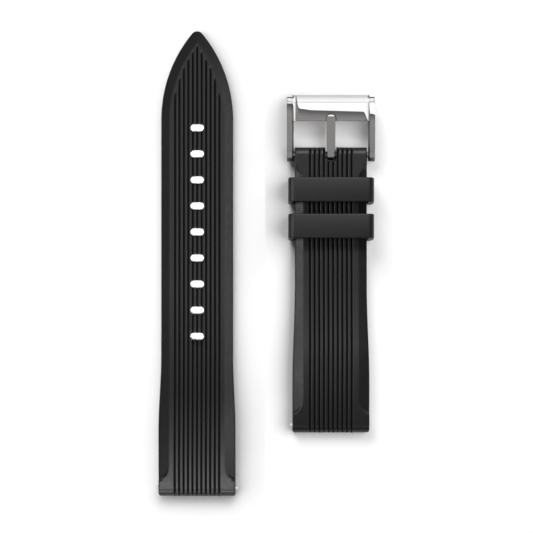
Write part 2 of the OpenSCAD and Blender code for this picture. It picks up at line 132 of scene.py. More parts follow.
TIP_NOSE_AT = TIP_LEN - TIP_NOSE_R
TIP_RIM = 0.55
TIP_BEVEL_EXTRA = 0.3
HOLE_COUNT = 9
HOLE_PITCH = 6.79
HOLE_FIRST = 25.2
HOLE_W = 3.6
HOLE_H = 1.9
HOLE_ROUND = 0.22
BEAD_R = 1.95
BEAD_Z = SHORT["top"] - BEAD_R + SOFT_EDGE
SLOT_W = 2.9
SLOT_L = 3.65
SLOT_CORNER = 0.35
BEVEL_LEAD = 4.5
BEVEL_LEAD_RUN = 3.3

# Distances between the rows of a strap's surface
PLAIN_ROWS = 3.0
TIP_ROWS = 0.3
LEAD_ROWS = 0.25
LEAD_ROWS_BEFORE = 0.6
LEAD_ROWS_END = 0.1
CLOSEST_ROWS = 0.05
NOSE_RUN = 3
NOSE_ROW_COUNT = 26
HOLE_REACH = 1.3
HOLE_ROW_COUNT = 19
LUG_NOSE_ROW_COUNT = 12
CROWN_ROW_COUNT = 96
FOOT_ROW_COUNT = 24
BEAD_ROW_COUNT = 14

# Places across a flute from its middle, and shares of the way across a bevel and a rounded edge
ACROSS_FLUTE = [-0.36, -0.26, -0.2, -0.14, -0.07, 0.0, 0.07, 0.14, 0.2, 0.26, 0.36]
ACROSS_CREASE = np.array([-0.1, -0.05, 0.0, 0.05, 0.1])
PAD_START = 0.12
PAD_END = 0.18
PAD_COUNT = 4
BEVEL_STEPS = np.array([0.12, 0.25, 0.38, 0.5, 0.62, 0.74])
EDGE_STEPS = np.array([1.0, 0.66, 0.4, 0.2, 0.07, 0.0]) * EDGE_ROUND
WALL_STEPS = 3

# Meshes: distance in metres at which points are merged, and sides of round cutters and corners
WELD = 1e-7
ROD_SIDES = 40
HOLE_STEPS = 14
CORNER_STEPS = 8

# Angles in degrees above which an edge stays crisp
STRAP_CRISP = 55
KEEPER_CRISP = 50
SPRING_CRISP = 50
TONGUE_CRISP = 40
BUCKLE_CRISP = 14

# Angles in degrees up to which faces are one plane, and from which an edge is softened
FLAT_TO = 0.5
SHARP_FROM = 28
TONGUE_SOFT = 0.16


def smooth(t):
    """Smooth step from 0 to 1 as t goes from 0 to 1."""
    t = np.clip(t, 0, 1)
    return t * t * (3 - 2 * t)


def soft_max(a, width):
    """Like max(a, 0), rounded over a width."""
    return (a + np.sqrt(a * a + width * width)) / 2


def climb(spec):
    """Angle at which the crown and foot curves meet."""
    return math.acos(1 - (CROWN_Z - spec["top"]) / (CROWN_R + FOOT_R))


def foot_end(spec):
    """Where the straight part begins."""
    return CROWN_Y + (CROWN_R + FOOT_R) * math.sin(climb(spec))


def half_width(y, spec):
    """Half the width of a strap at a distance from its lug end."""
    y0, y1 = spec["flare"]
    t = np.clip((y - y0) / (y1 - y0), 0, 1)
    w = BODY_W / 2 + (LUG_W - BODY_W) / 2 * (1 + np.cos(math.pi * t)) / 2
    corner = np.clip(CORNER_ROUND - y, 0, CORNER_ROUND)
    w = w - (CORNER_ROUND - np.sqrt(CORNER_ROUND**2 - corner**2))
    if spec is not LONG:
        return w
    tip_y = spec["length"] - TIP_LEN
    on_tip = np.clip(y - tip_y, 0, TIP_LEN)
    tip = np.sqrt(TIP_ARC_R**2 - on_tip**2) - TIP_ARC_X
    nose = np.sqrt(np.clip(TIP_NOSE_R**2 - (on_tip - TIP_NOSE_AT) ** 2, 0, None))
    touch = TIP_ARC_R * TIP_NOSE_AT / (TIP_ARC_R - TIP_NOSE_R)
    tip = np.where(on_tip > touch, nose, tip)
    return np.where(y > tip_y, np.maximum(tip, 0), w)


def edge_gap(a, y, spec):
    """How far inside a strap's outline a point lies, at a distance a from its middle line."""
    gap = half_width(y, spec) - a
    if spec is not LONG:
        return gap
    on_tip = y - (spec["length"] - TIP_LEN)
    past_nose = on_tip - TIP_NOSE_AT
    flank = TIP_ARC_R - np.hypot(a + TIP_ARC_X, on_tip)
    nose = TIP_NOSE_R - np.hypot(a, past_nose)
    tip = np.where(past_nose * TIP_ARC_X > a * TIP_NOSE_AT, nose, flank)
    return np.where(on_tip > 0, tip, gap)


# Rows of a strap's surface, from the lug end to the other end
def arc_rows(centre, r, start, end, count, hollow=False):
    """Rows along an arc seen from the side: y, z and the normal's y and z."""
    a = np.linspace(start, end, count, endpoint=False)
    side = -1 if hollow else 1
    y = centre[0] + side * r * np.sin(a)
    z = centre[1] + side * r * np.cos(a)
    return np.stack([y, z, np.sin(a), np.cos(a)], 1)


def flat_rows(ys, z):
    """Rows along the straight part."""
    return np.stack([ys, np.full(len(ys), z), np.zeros(len(ys)), np.ones(len(ys))], 1)


def top_rows(spec, straight_ys):
    """Every row of the top surface, with the lug end first."""
    up = climb(spec)
    foot = (foot_end(spec), spec["top"] + FOOT_R)
    nose = arc_rows((NOSE_R, NOSE_R), NOSE_R, -math.pi / 2, -NOSE_ANGLE, LUG_NOSE_ROW_COUNT)
    crown = arc_rows((CROWN_Y, CROWN_Z - CROWN_R), CROWN_R, -NOSE_ANGLE, up, CROWN_ROW_COUNT)
    hollow = arc_rows(foot, FOOT_R, up, 0, FOOT_ROW_COUNT, hollow=True)
    return np.concatenate([nose, crown, hollow, flat_rows(straight_ys, spec["top"])])


def bottom_rows(rows, spec):
    """The underside's y and z under each row of the top."""
    arch_end, rise, parts = spec["arch"]
    t = np.clip((rows[:, 0] - ARCH_START) / (arch_end - ARCH_START), 0, 1) / parts
    z = rise * 4 * t * (1 - t)
    y = rows[:, 0].copy()
    nose = rows[:, 0] < NOSE_R
    z[nose] = NOSE_R - np.sqrt(np.clip(NOSE_R**2 - (NOSE_R - y[nose]) ** 2, 0, None))
    return np.stack([y, z], 1)


def flute_columns(spec):
    """Places across the strap where its surface needs points, out to the side bevels."""
    pitch, count = spec["pitch"], spec["flutes"]
    places = []
    for i in range(count):
        middle = (i - (count - 1) / 2) * pitch
        places += [middle + d for d in ACROSS_FLUTE]
        places.append(middle + pitch / 2)
    places.pop()
    pad = list(np.linspace(places[-1] + PAD_START, BEVEL_IN - PAD_END, PAD_COUNT))
    crease = list(BEVEL_IN + ACROSS_CREASE)
    side = pad + crease
    return np.array([-s for s in reversed(side)] + places + side)


def columns_at(y, spec, inner):
    """Places across the strap in one row, squeezed inside its outline."""
    w = float(half_width(np.array(y), spec))
    edge = max(w - EDGE_ROUND, 0)
    body = np.clip(inner, -edge, edge)
    first = min(inner[-1], edge)
    bevel = first + (edge - first) * BEVEL_STEPS
    rim = np.maximum(w - EDGE_STEPS, 0)
    side = np.concatenate([bevel, rim])
    return np.concatenate([-side[::-1], body, side])


def flute_profile(x, spec):
    """Depth of the flutes across the strap, from 0 on a rib to 1 on a flute's floor."""
    pitch, count = spec["pitch"], spec["flutes"]
    nearest = np.clip(np.round(x / pitch + (count - 1) / 2), 0, count - 1)
    t = np.abs(x - (nearest - (count - 1) / 2) * pitch)
    wall = 1 - smooth(t / FLUTE_WALL)
    shoulder = 1 - smooth((t - FLUTE_SHOULDER) / FLUTE_SHOULDER_RUN)
    return (FLUTE_WALL_SHARE * wall + FLUTE_SHOULDER_SHARE * shoulder).clip(0, 1)


def surface(x, y, spec):
    """Height of the surface above its own path: flutes, side bevels and their ends."""
    a = np.abs(x)
    h = np.zeros_like(x)
    bevel = soft_max(a - BEVEL_IN, BEVEL_CREASE)
    open_lug = scallop_share(a, y, spec)
    if spec is LONG:
        tip_y = spec["length"] - TIP_LEN
        on_tip = np.clip(y - tip_y, 0, None)
        rho = np.hypot(a + TIP_ARC_X, on_tip)
        inside = TIP_ARC_R - BEVEL_W - TIP_BEVEL_EXTRA * smooth(on_tip / TIP_LEN)
        bevel = np.where(y > tip_y, soft_max(rho - inside, BEVEL_CREASE), bevel)
        in_flutes = smooth((inside - TIP_RIM - rho) / RUN_OUT)
        in_flutes = np.where(y > tip_y, in_flutes, 1)
    else:
        open_lug = open_lug * lead_share(a, y, spec)
        in_flutes = np.ones_like(x)
    h -= BEVEL_SLOPE * bevel * open_lug
    h -= FLUTE_DEPTH * flute_profile(x, spec) * in_flutes
    inset = np.clip(EDGE_ROUND - edge_gap(a, y, spec), 0, EDGE_ROUND)
    h -= EDGE_ROUND - np.sqrt(EDGE_ROUND**2 - inset**2)
    if spec is LONG:
        h -= hole_rim(x, y)
    return h


def scallop_share(a, y, spec):
    """1 where the side bevel is cut, 0 past its scooped run-out at the lug end."""
    past = np.clip(a - BEVEL_IN, 0, SCALLOP_R)
    line = spec["scallop"] - np.sqrt(np.clip(SCALLOP_R**2 - (SCALLOP_R - past) ** 2, 0, None))
    return smooth((y - line) / RUN_OUT + 0.5)


def lead_share(a, y, spec):
    """1 where the short half's side bevel is cut, 0 past its slanted start."""
    end = spec["length"] - BEVEL_LEAD
    line = end - BEVEL_LEAD_RUN * (BODY_W / 2 - a) / BEVEL_W
    return smooth((line - y) / RUN_OUT + 0.5)


def hole_places():
    """How far each adjusting hole's middle lies from the lug end."""
    return [LONG["length"] - HOLE_FIRST - i * HOLE_PITCH for i in range(HOLE_COUNT)]


def hole_rim(x, y):
    """Rounding round each adjusting hole."""
    drop = np.zeros_like(x)
    straight = (HOLE_W - HOLE_H) / 2
    for cy in hole_places():
        outside = np.hypot(np.clip(np.abs(x) - straight, 0, None), y - cy) - HOLE_H / 2
        inset = np.clip(HOLE_ROUND - outside, 0, HOLE_ROUND)
        drop += HOLE_ROUND - np.sqrt(HOLE_ROUND**2 - inset**2)
    return drop


def straight_rows_long():
    """Rows of the long half from the foot of the lug end to the tip."""
    start, end = foot_end(LONG), LONG["length"]
    tip_y = end - TIP_LEN
    ys = list(np.arange(start, tip_y, PLAIN_ROWS))
    for cy in hole_places():
        ys += list(cy + np.linspace(-HOLE_REACH, HOLE_REACH, HOLE_ROW_COUNT))
    ys += list(np.arange(tip_y, end - NOSE_RUN, TIP_ROWS))
    on_nose = np.sin(np.linspace(0, 1, NOSE_ROW_COUNT) * math.pi / 2)
    ys += list(end - NOSE_RUN + NOSE_RUN * on_nose)
    return well_spaced(ys, start, end, CLOSEST_ROWS)


def well_spaced(ys, start, end, gap):
    """Sorted values between two ends, with none nearer the last than a gap."""
    kept = [start]
    for y in sorted(ys):
        if y >= kept[-1] + gap and y < end - gap / 2:
            kept.append(y)
    return np.array(kept + [end])


def straight_rows_short():
    """Rows of the short half from the foot of the lug end to the middle of the bead."""
    start, bead_y = foot_end(SHORT), SHORT["length"] - BEAD_R
    lead = SHORT["length"] - BEVEL_LEAD - BEVEL_LEAD_RUN - LEAD_ROWS_BEFORE
    ys = list(np.arange(start, lead, PLAIN_ROWS))
    ys += list(np.arange(lead, bead_y - LEAD_ROWS_END, LEAD_ROWS))
    return well_spaced(ys, start, bead_y, CLOSEST_ROWS)


# Meshes
def link(name, verts, faces):
    """A new mesh object from points in millimetres."""
    mesh = bpy.data.meshes.new(name)
    mesh.from_pydata((np.asarray(verts) * MM).tolist(), [], faces)
    obj = bpy.data.objects.new(name, mesh)
    bpy.context.scene.collection.objects.link(obj)
    clean(obj)
    return obj


def clean(obj):
    """Merges points that coincide and turns every face outwards."""
    bm = bmesh.new()
    bm.from_mesh(obj.data)
    bmesh.ops.remove_doubles(bm, verts=bm.verts, dist=WELD)
    bmesh.ops.dissolve_degenerate(bm, edges=bm.edges, dist=WELD)
    bmesh.ops.recalc_face_normals(bm, faces=bm.faces)
    bm.to_mesh(obj.data)
    bm.free()


def shell(name, top, under):
    """A closed strap from the points of its top and of its underside, row by row."""
    rows, cols = top.shape[:2]
    down = np.linspace(0, 1, WALL_STEPS + 2)[1:-1]
    rings = []
    for i in range(rows):
        left, right = top[i, 0], top[i, -1]
        low_l, low_r = under[i, 0], under[i, -1]
        wall_r = [right + (low_r - right) * t for t in down]
        wall_l = [low_l + (left - low_l) * t for t in down]
        rings.append(np.concatenate([top[i], wall_r, under[i][::-1], wall_l]))
    size = len(rings[0])
    faces = ring_faces(size, rows)
    opposite = [cols + WALL_STEPS + (cols - 1 - j) for j in range(cols)]
    right_wall = range(cols, cols + WALL_STEPS)
    left_wall = range(size - 1, size - 1 - WALL_STEPS, -1)
    for i, flip in ((0, False), (rows - 1, True)):
        base = i * size
        for j in range(cols - 1):
            quad = (base + j, base + opposite[j], base + opposite[j + 1], base + j + 1)
            faces.append(quad[::-1] if flip else quad)
        for start, wall in ((cols - 1, right_wall), (0, left_wall)):
            loop = [base + start] + [base + k for k in wall] + [base + opposite[start]]
            faces.append(tuple(loop if flip == (start == 0) else loop[::-1]))
    return link(name, np.concatenate(rings), faces)


def ring_faces(size, rings):
    """The faces between rings of points that follow each other."""
    faces = []
    for i in range(rings - 1):
        for j in range(size):
            k = (j + 1) % size
            faces.append((i * size + j, i * size + k, (i + 1) * size + k, (i + 1) * size + j))
    return faces


def strap_points(spec, rows, under):
    """Points of the top and the underside of a strap, in its own place."""
    inner = flute_columns(spec)
    top, low = [], []
    for row, below in zip(rows, under):
        y, z, ny, nz = row
        x = columns_at(y, spec, inner)
        h = surface(x, np.full(len(x), y), spec)
        top.append(np.stack([x, y + ny * h, z + nz * h], 1))
        low.append(underside(x, y, below, spec))
    return np.array(top), np.array(low)


def underside(x, y, below, spec):
    """Points of the underside in one row, with its long edges rounded."""
    inset = np.clip(EDGE_ROUND - edge_gap(np.abs(x), np.full(len(x), y), spec), 0, EDGE_ROUND)
    lift = EDGE_ROUND - np.sqrt(EDGE_ROUND**2 - inset**2)
    lift = np.minimum(lift, EDGE_LIFT_MOST) * smooth(y / EDGE_LIFT_RUN)
    return np.stack([x, np.full(len(x), below[0]), below[1] + lift], 1)


def move_mesh(obj, dx, dy):
    """Moves a mesh's points in millimetres."""
    for v in obj.data.vertices:
        v.co.x += dx * MM
        v.co.y += dy * MM


def prism(name, outline, z0, z1):
    """A closed upright prism over an outline in millimetres."""
    n = len(outline)
    verts = [(x, y, z) for z in (z0, z1) for x, y in outline]
    faces = [(i, (i + 1) % n, n + (i + 1) % n, n + i) for i in range(n)]
    faces += [tuple(range(n))[::-1], tuple(range(n, 2 * n))]
    return link(name, verts, faces)


def rod(name, centre, r, length):
    """A closed rod along X in millimetres."""
    sides = ROD_SIDES
    a = np.linspace(0, 2 * math.pi, sides, endpoint=False)
    verts = [
        (centre[0] + s * length / 2, centre[1] + r * math.cos(t), centre[2] + r * math.sin(t))
        for s in (-1, 1)
        for t in a
    ]
    faces = [(i, (i + 1) % sides, sides + (i + 1) % sides, sides + i) for i in range(sides)]
    faces += [tuple(range(sides))[::-1], tuple(range(sides, 2 * sides))]
    return link(name, verts, faces)


def cut(obj, cutters):
    """Cuts closed shapes out of an object and removes them."""
    combine(obj, cutters, "DIFFERENCE")


def unite(obj, others):
    """Joins closed shapes to an object and removes them."""
    combine(obj, others, "UNION")


def combine(obj, others, operation):
    """Takes closed shapes into an object by a solid operation and removes them."""
    for other in others:
        mod = obj.modifiers.new(operation.lower(), "BOOLEAN")
        mod.operation = operation
        mod.solver = "EXACT"
        mod.object = other
    apply_modifiers(obj)
    for other in others:
        bpy.data.objects.remove(other)


def apply_modifiers(obj):
    """Keeps the mesh as its modifiers leave it."""
    depsgraph = bpy.context.evaluated_depsgraph_get()
    made = bpy.data.meshes.new_from_object(obj.evaluated_get(depsgraph))
    obj.modifiers.clear()
    obj.data = made


def smooth_by_angle(obj, degrees):
    """Smooth shading, with edges sharper than an angle kept crisp."""
    obj.data.shade_smooth()
    obj.data.set_sharp_from_angle(angle=math.radians(degrees))


def stadium(cx, cy, w, h):
    """Outline with round ends, longer across the strap."""
    r, s = h / 2, (w - h) / 2
    angles = [-math.pi / 2 + math.pi * i / HOLE_STEPS for i in range(HOLE_STEPS + 1)]
    outline = [(cx + s + r * math.cos(a), cy + r * math.sin(a)) for a in angles]
    outline += [(cx - s - r * math.cos(a), cy - r * math.sin(a)) for a in angles]
    return outline


def long_half():
    """The pointed half with its adjusting holes."""
    rows = top_rows(LONG, straight_rows_long())
    top, low = strap_points(LONG, rows, bottom_rows(rows, LONG))
    obj = shell("strap_long_silicone", top, low)
    cutters = [rod("cut_bar", (0, NOSE_R, NOSE_R), BAR_HOLE_R, 2 * LUG_W)]
    for cy in hole_places():
        cutters.append(prism("cut_hole", stadium(0, cy, HOLE_W, HOLE_H), -1, CROWN_Z))
    cut(obj, cutters)
    move_mesh(obj, LONG_X, LONG_LO[1])
    return obj


def bead_rows(spec):
    """Rows round the bead at the buckle end, from its top to its outermost line."""
    a = np.linspace(0, math.pi / 2, BEAD_ROW_COUNT)[1:]
    cy = spec["length"] - BEAD_R
    z = BEAD_Z + (BEAD_R - SOFT_EDGE * (1 - np.sin(a))) * np.cos(a)
    return np.stack([cy + BEAD_R * np.sin(a), z, np.sin(a), np.cos(a)], 1)


def bead_bottom(y, z_flat, spec):
    """Height of the underside near the buckle end, where the bead hangs below the strap."""
    cy = spec["length"] - BEAD_R
    reach = BEAD_R**2 - (y - cy) ** 2
    bead = np.where(reach > 0, BEAD_Z - np.sqrt(np.clip(reach, 0, None)), BEAD_Z)
    return np.where(y > cy - BEAD_R, np.minimum(z_flat, bead), z_flat)


def short_half():
    """The half with the bead round the buckle bar and the slot for the tongue."""
    spec = SHORT
    rows = np.concatenate([top_rows(spec, straight_rows_short()), bead_rows(spec)])
    under = bottom_rows(rows, spec)
    under[:, 1] = bead_bottom(rows[:, 0], under[:, 1], spec)
    under[-1] = [spec["length"], BEAD_Z]
    top, low = strap_points(spec, rows, under)
    obj = shell("strap_short_silicone", top, low)
    cutters = [
        rod("cut_bar", (0, NOSE_R, NOSE_R), BAR_HOLE_R, 2 * LUG_W),
        rod("cut_buckle_bar", (0, spec["length"] - BEAD_R, BEAD_Z), BAR_HOLE_R, 2 * LUG_W),
        prism("cut_slot", slot_outline(spec["length"]), -1, 2 * CROWN_Z),
    ]
    cut(obj, cutters)
    move_mesh(obj, SHORT_X, SHORT_LO[1])
    return obj


def slot_outline(end):
    """Outline of the slot for the tongue, from inside the strap to beyond its end."""
    half = SLOT_W / 2
    floor_y, open_y = end - SLOT_L, end + 1
    chamfer = 0.3 * SLOT_CORNER
    right = [
        (half, open_y),
        (half, floor_y + SLOT_CORNER),
        (half - chamfer, floor_y + chamfer),
        (half - SLOT_CORNER, floor_y),
    ]
    return [(-x, y) for x, y in right] + right[::-1]


def rounded_loop(w, h, r):
    """Rounded rectangle around the origin in millimetres, seen from the front."""
    points = []
    for cx, cz, start in ((1, -1, -90), (1, 1, 0), (-1, 1, 90), (-1, -1, 180)):
        for i in range(CORNER_STEPS + 1):
            a = math.radians(start + 90 * i / CORNER_STEPS)
            points.append((cx * (w / 2 - r) + r * math.cos(a), cz * (h / 2 - r) + r * math.sin(a)))
    return np.array(points)


# Keepers
KEEPER_LEAN = 0.62
KEEPER_SIDE = 1.5
KEEPER_FACE = 1.3
KEEPER_OUTER_R = 1.6
KEEPER_INNER_R = 0.5
KEEPER_ROUND = 0.3
KEEPER_ROUND_STEPS = 5
KEEPER_MOUTH = 0.1


def keeper(name, node):
    """A silicone loop whose foot lies a little nearer the lug end than its face."""
    lo, hi = box_mm(node)
    w, length, h = hi - lo
    outer = rounded_loop(w, h, KEEPER_OUTER_R)
    inner = rounded_loop(w - 2 * KEEPER_SIDE, h - 2 * KEEPER_FACE, KEEPER_INNER_R)
    front = []
    for t in np.linspace(0, math.pi / 2, KEEPER_ROUND_STEPS):
        front.append((outer, KEEPER_ROUND * (1 - math.sin(t)), KEEPER_ROUND * (1 - math.cos(t))))
    back = [(o, inset, length - KEEPER_LEAN - y) for o, inset, y in reversed(front)]
    mouth = (inner, 0.0, KEEPER_MOUTH)
    far_mouth = (inner, 0.0, length - KEEPER_LEAN - KEEPER_MOUTH)
    profile = [mouth, *front, *back, far_mouth]
    count = len(outer)
    verts = []
    for loop, inset, y in profile:
        for x, z in loop - loop_normals(loop) * inset:
            lean = KEEPER_LEAN * (z + h / 2) / h
            verts.append(((lo[0] + hi[0]) / 2 + x, lo[1] + y + lean, h / 2 + z))
    faces = []
    rings = len(profile)
    for i in range(rings):
        k = (i + 1) % rings
        for j in range(count):
            m = (j + 1) % count
            faces.append((i * count + j, i * count + m, k * count + m, k * count + j))
    return link(name, verts, faces)


def loop_normals(loop):
    """Outward normals of a closed outline."""
    ahead = np.roll(loop, -1, axis=0) - np.roll(loop, 1, axis=0)
    n = np.stack([ahead[:, 1], -ahead[:, 0]], 1)
    return n / np.maximum(np.linalg.norm(n, axis=1), 1e-9)[:, None]


# Buckle, whose places are measured from the middle of its bar
BAR_Y = SHORT_LO[1] + SHORT["length"] - BEAD_R
BUCKLE_INNER = 19.4
ARM_W = 1.75
ARM_BOSS = 1.75
ARM_L = 15.1
ARM_BELLY = 0.75 * ARM_L
ARM_HEEL = 0.85 * ARM_BOSS
ARM_CREST = (6.8, 3.1)
ARM_CURVE = 14.0
PIN_HOLE_R = 0.5
BRIDGE_Y = 8.7
BRIDGE_FRONT = 15.5
FACET_Y = 13.5
FACET_DROP = 1.5
BRIDGE_TOP = 3.4
BRIDGE_R = 13.0
BRIDGE_T = 1.8
BRIDGE_CREST = 0.6
BRIDGE_SOFT = 0.12
REST_END = 10.7
REST_W = 2.9
REST_D = 1.2
UPWARD_FROM = 0.2
UPWARD_RUN = 0.4


def arm_loop():
    """Outline of a buckle arm seen from the side, with the bar at the origin."""

    def low(y):
        """Height of the arm's underside."""
        return -ARM_HEEL + (ARM_HEEL - BEAD_Z) * min(y / ARM_BELLY, 1)

    def top(y):
        """Height of the arm's arched top."""
        return ARM_CREST[1] - ARM_CURVE + math.sqrt(ARM_CURVE**2 - (y - ARM_CREST[0]) ** 2)

    # Round the bar, along the arched top, down the chamfered toe and back along the underside
    points = []
    for a in np.radians(np.linspace(-60, -300, 70)):
        y, z = ARM_BOSS * math.cos(a), ARM_BOSS * math.sin(a)
        if y <= 0 or z > top(y) or z < low(y):
            points.append((y, z))
    first, last = points[0][0], points[-1][0]
    points += [(y, top(y)) for y in np.linspace(last + 0.15, ARM_L - 0.4, 60)]
    points += [(ARM_L - 0.14, top(ARM_L) - 0.06), (ARM_L, top(ARM_L) - 0.35)]
    points += [(ARM_L, 0.12 - BEAD_Z), (ARM_L - 0.12, -BEAD_Z)]
    points += [(y, low(y)) for y in np.linspace(ARM_BELLY, first + 0.2, 14)]
    return np.array(points)[::-1]


def bridge_loop():
    """Outline of the bridge seen from the side, with the bar at the origin."""
    crest = BRIDGE_Y + BRIDGE_CREST
    cz = BRIDGE_TOP - BRIDGE_R

    def top(y):
        """Height of the domed top."""
        return cz + math.sqrt(BRIDGE_R**2 - (y - crest) ** 2)

    def under(y):
        """Height of the underside, which follows the dome."""
        return cz + math.sqrt((BRIDGE_R - BRIDGE_T) ** 2 - (y - crest) ** 2)

    # Up the rear face to its soft edge, over the dome, down the facet and the front, and back below
    soft = BRIDGE_SOFT
    front_z = top(FACET_Y) - FACET_DROP
    points = [(BRIDGE_Y, under(BRIDGE_Y)), (BRIDGE_Y, top(BRIDGE_Y) - soft)]
    points += [(BRIDGE_Y + 0.3 * soft, top(BRIDGE_Y) - 0.3 * soft)]
    points += [(y, top(y)) for y in np.linspace(BRIDGE_Y + soft, FACET_Y, 30)]
    points += [(BRIDGE_FRONT - soft, front_z + 0.75 * soft), (BRIDGE_FRONT, front_z - soft)]
    points += [(BRIDGE_FRONT, max(under(BRIDGE_FRONT), 0))]
    points += [(y, max(under(y), 0)) for y in np.linspace(BRIDGE_FRONT - 0.4, BRIDGE_Y + 0.4, 20)]
    return np.array(points)[::-1]


def swept(name, loop, stations):
    """A closed solid along X from a side outline, drawn in by some amount at each station.

    A station is a place, the amount for upward faces and the amount for the others.
    """
    normals = loop_normals(loop)
    up = smooth((normals[:, 1] - UPWARD_FROM) / UPWARD_RUN)
    count = len(loop)
    verts = []
    for x, top_in, other_in in stations:
        drawn = loop - normals * (top_in * up + other_in * (1 - up))[:, None]
        verts += [(x, y, z) for y, z in drawn]
    faces = ring_faces(count, len(stations))
    last = (len(stations) - 1) * count
    faces += [tuple(range(count))[::-1], tuple(range(last, last + count))]
    return link(name, np.array(verts), faces)


def buckle():
    """The frame of the buckle: two arms and a bridge in one, with the rest for the tongue."""
    inner = BUCKLE_INNER / 2
    outer = inner + ARM_W

    # The stations of an arm and of the bridge's end, which draw their edges in to soften them
    arm = [(inner, 0.42, 0.1), (inner + 0.4, 0.02, 0.02), (inner + 0.5, 0, 0)]
    arm += [(outer - 0.14, 0, 0), (outer - 0.04, 0.05, 0.05), (outer, 0.14, 0.14)]
    end = [(inner + 0.3, 0.45, 0), (inner + 0.02, 0.42, 0)]
    end += [(inner - 0.5, 0.03, 0), (inner - 0.65, 0, 0)]

    right = swept("buckle_polished", arm_loop(), arm)
    left = swept("arm_left", arm_loop(), [(-x, t, o) for x, t, o in reversed(arm)])
    middle = swept("bridge", bridge_loop(), [(-x, t, o) for x, t, o in end] + end[::-1])
    unite(right, [left, middle])
    rest = prism("cut_rest", rest_outline(), BRIDGE_TOP - REST_D, BRIDGE_TOP + 2)
    cut(right, [rest, rod("cut_pin", (0, 0, 0), PIN_HOLE_R, 4 * outer)])
    for v in right.data.vertices:
        v.co += Vector((SHORT_X, BAR_Y, BEAD_Z)) * MM
    smooth_by_angle(right, BUCKLE_CRISP)
    return right


def rest_outline():
    """Outline of the tongue's rest, with a round end."""
    r = REST_W / 2
    behind = BRIDGE_Y - 1
    bend = [(r * math.cos(t), REST_END - r + r * math.sin(t)) for t in np.linspace(0, math.pi, 25)]
    return [(r, behind), *bend, (-r, behind)]


def polished(name, node, width):
    """The shape of a steel node with its sharp edges softened to a width."""
    source = frame["nodes"][node]
    obj = bpy.data.objects.new(name, source.data.copy())
    obj.matrix_world = source.matrix_world.copy()
    bpy.context.scene.collection.objects.link(obj)
    bm = bmesh.new()
    bm.from_mesh(obj.data)
    bmesh.ops.remove_doubles(bm, verts=bm.verts, dist=WELD)
    flat = math.radians(FLAT_TO)
    bmesh.ops.dissolve_limit(
        bm, angle_limit=flat, verts=bm.verts, edges=bm.edges, delimit={"NORMAL"}
    )
    bm.to_mesh(obj.data)
    bm.free()
    mod = obj.modifiers.new("soft_edges", "BEVEL")
    mod.width = width * MM
    mod.segments = 3
    mod.limit_method = "ANGLE"
    mod.angle_limit = math.radians(SHARP_FROM)
    mod.use_clamp_overlap = True
    apply_modifiers(obj)
    smooth_by_angle(obj, TONGUE_CRISP)
    return obj


def half_spring(name, node, side):
    """The left (-1) or right (1) half of a bar's spring, closed where it is cut."""
    source = frame["nodes"][node]
    obj = bpy.data.objects.new(name, source.data.copy())
    obj.data.transform(source.matrix_world)
    bpy.context.scene.collection.objects.link(obj)
    middle = [(a + b) / 2 for a, b in zip(*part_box(node))]
    bm = bmesh.new()
    bm.from_mesh(obj.data)
    bmesh.ops.remove_doubles(bm, verts=bm.verts, dist=WELD)
    whole = bm.verts[:] + bm.edges[:] + bm.faces[:]
    bmesh.ops.bisect_plane(
        bm, geom=whole, dist=1e-8, plane_co=middle, plane_no=(side, 0, 0), clear_inner=True
    )
    rim = [edge for edge in bm.edges if edge.is_boundary]
    bmesh.ops.triangle_fill(bm, edges=rim, use_beauty=True)
    bmesh.ops.recalc_face_normals(bm, faces=bm.faces)
    bm.to_mesh(obj.data)
    bm.free()
    smooth_by_angle(obj, SPRING_CRISP)
    return obj


# Materials
SILICONE_DEPTH = 0.00004
LINE_DEPTH = 0.00001


def material(name):
    """A new material with its node tree, its nodes and its main shader."""
    mat = bpy.data.materials.new(name)
    mat.use_nodes = True
    tree = mat.node_tree
    return mat, tree, tree.nodes["Principled BSDF"]


def noise(tree, scale, detail):
    """Noise laid over an object by its own coordinates, in metres."""
    coords = tree.nodes.new("ShaderNodeTexCoord")
    node = tree.nodes.new("ShaderNodeTexNoise")
    node.inputs["Scale"].default_value = scale
    node.inputs["Detail"].default_value = detail
    node.inputs["Roughness"].default_value = 0.55
    tree.links.new(coords.outputs["Object"], node.inputs["Vector"])
    return node.outputs["Fac"]


def ramp(tree, value, stops):
    """Colour ramp through stops of place and grey or colour."""
    node = tree.nodes.new("ShaderNodeValToRGB")
    elements = node.color_ramp.elements
    while len(elements) < len(stops):
        elements.new(0.5)
    for element, (place, colour) in zip(elements, stops):
        element.position = place
        element.color = (*colour, 1) if isinstance(colour, tuple) else (colour, colour, colour, 1)
    tree.links.new(value, node.inputs["Fac"])
    return node.outputs["Color"]


def bump(tree, shader, height, strength, distance):
    """Fine relief from a height value."""
    node = tree.nodes.new("ShaderNodeBump")
    node.inputs["Strength"].default_value = strength
    node.inputs["Distance"].default_value = distance
    tree.links.new(height, node.inputs["Height"])
    tree.links.new(node.outputs["Normal"], shader.inputs["Normal"])


def silicone_material(name, tint):
    """Matte black moulded silicone with a very fine grain."""
    mat, tree, shader = material(name)
    dark = tuple(c * 0.85 for c in tint)
    light = tuple(c * 1.15 for c in tint)
    colour = ramp(tree, noise(tree, 260, 3), [(0.3, dark), (0.7, light)])
    sheen = ramp(tree, noise(tree, 900, 4), [(0.3, 0.46), (0.7, 0.54)])
    tree.links.new(colour, shader.inputs["Base Color"])
    tree.links.new(sheen, shader.inputs["Roughness"])
    bump(tree, shader, noise(tree, 5200, 3), 0.35, SILICONE_DEPTH)
    return mat


